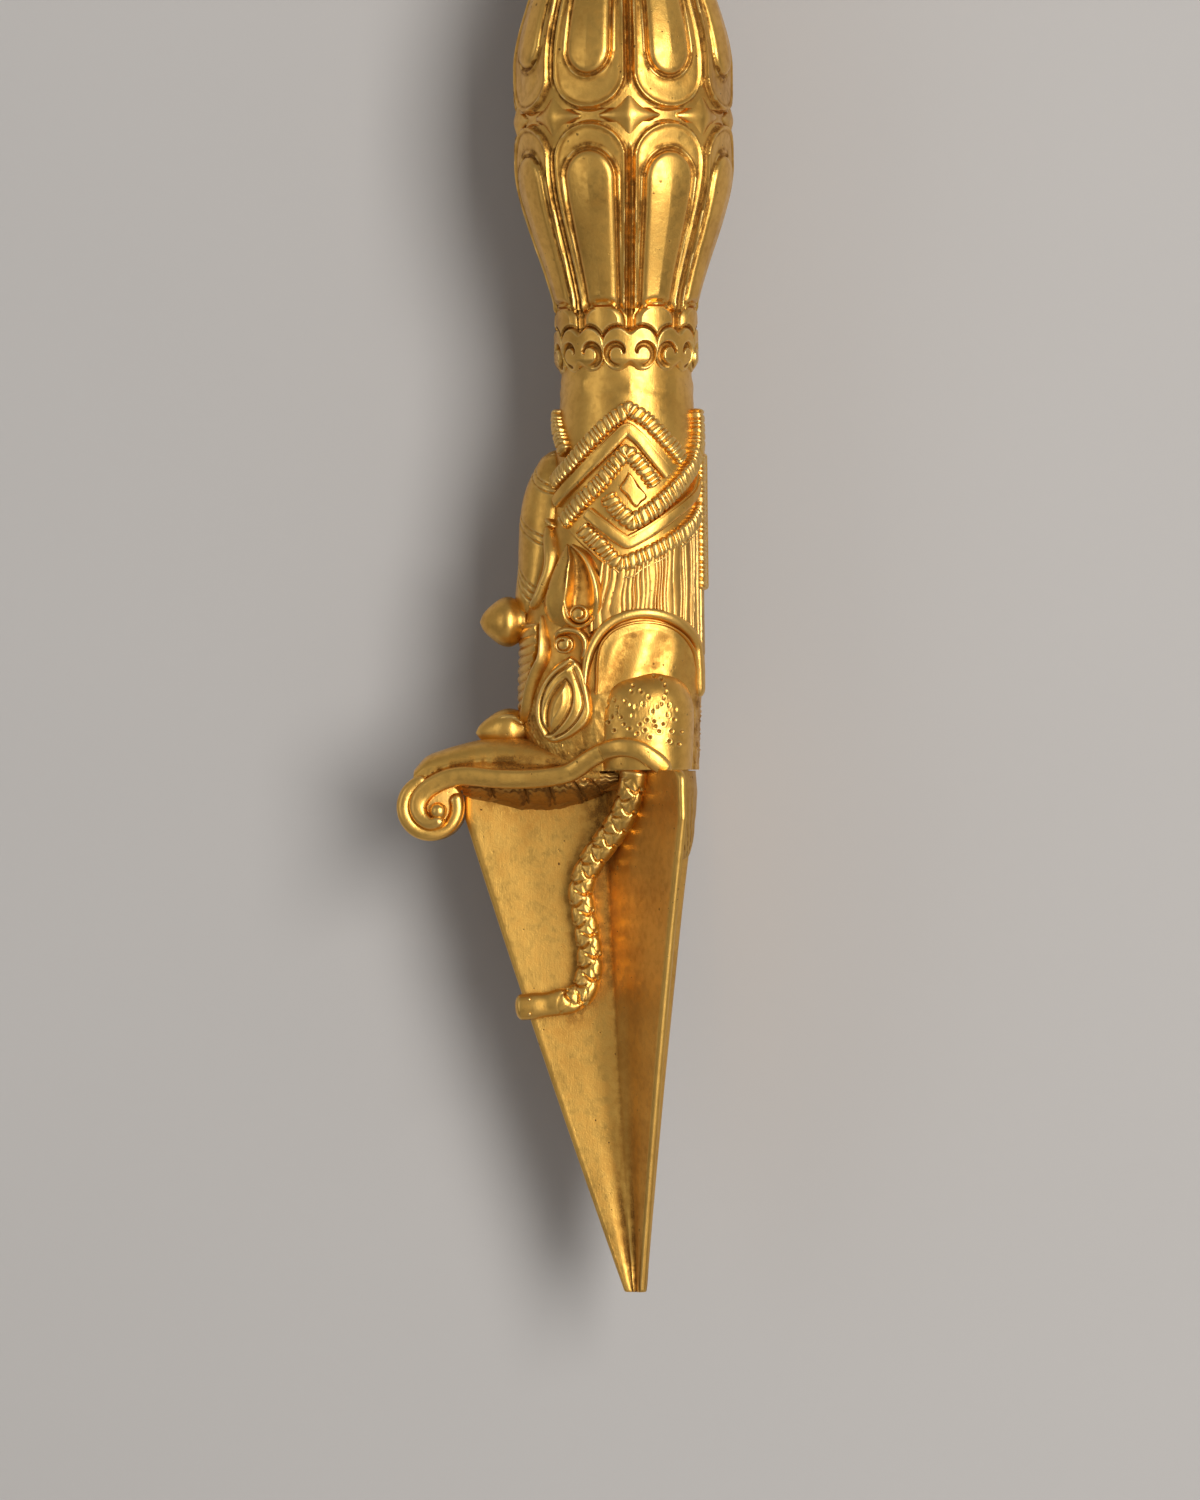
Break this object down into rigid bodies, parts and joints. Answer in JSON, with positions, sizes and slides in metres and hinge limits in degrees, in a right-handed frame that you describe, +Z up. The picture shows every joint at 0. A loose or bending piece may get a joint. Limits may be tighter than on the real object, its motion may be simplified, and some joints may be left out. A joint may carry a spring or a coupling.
{
  "type": "phurba",
  "caption": "Gilt ritual dagger held tip down: three-finned blade with snakes, makara head with knotted cord, petalled grip and a half vajra pommel.",
  "frame": {"origin": "on the hilt's axis at the middle of the grip, where a hand or a bracket holds it", "axes": "+Z up along the axis from the tip to the pommel; -X toward the makara's snout; Y across the head"},
  "size_m": [0.0485, 0.0364, 0.2386],
  "materials": {
    "gilt_bright": "fire gilding, polished on the high places, red-brown in the hollows",
    "gilt_worn": "thin matte gilding with dark patina in fine grooves",
    "gilt_blade": "brushed gilding, rubbed and spotted, worn along the edges"
  },
  "bodies": {
    "root": {"blade": "gilt_blade", "snake_a": "gilt_bright", "snake_b": "gilt_bright", "snake_c": "gilt_bright", "skull": "gilt_bright", "snout": "gilt_bright", "gum_left": "gilt_worn", "gum_right": "gilt_worn", "lip_left": "gilt_bright", "lip_right": "gilt_bright", "nose_bud": "gilt_bright", "forehead_bud": "gilt_bright", "forelock": "gilt_bright", "brow_left": "gilt_bright", "brow_right": "gilt_bright", "eye_left": "gilt_bright", "eye_right": "gilt_bright", "ear_left": "gilt_bright", "ear_right": "gilt_bright", "cheek_left": "gilt_bright", "cheek_right": "gilt_bright", "arch_left": "gilt_bright", "arch_right": "gilt_bright", "mane": "gilt_worn", "knot_left": "gilt_bright", "knot_right": "gilt_bright", "back_cord": "gilt_bright", "lower_jaw": "gilt_worn", "neck": "gilt_bright", "lower_collar": "gilt_bright", "lower_petals": "gilt_bright", "lozenge_belt": "gilt_bright", "upper_petals": "gilt_bright", "upper_collar": "gilt_bright", "lotus_base": "gilt_bright", "prong_front": "gilt_bright", "prong_left": "gilt_bright", "prong_back": "gilt_bright", "prong_right": "gilt_bright", "centre_prong": "gilt_bright"}
  },
  "joints": []
}
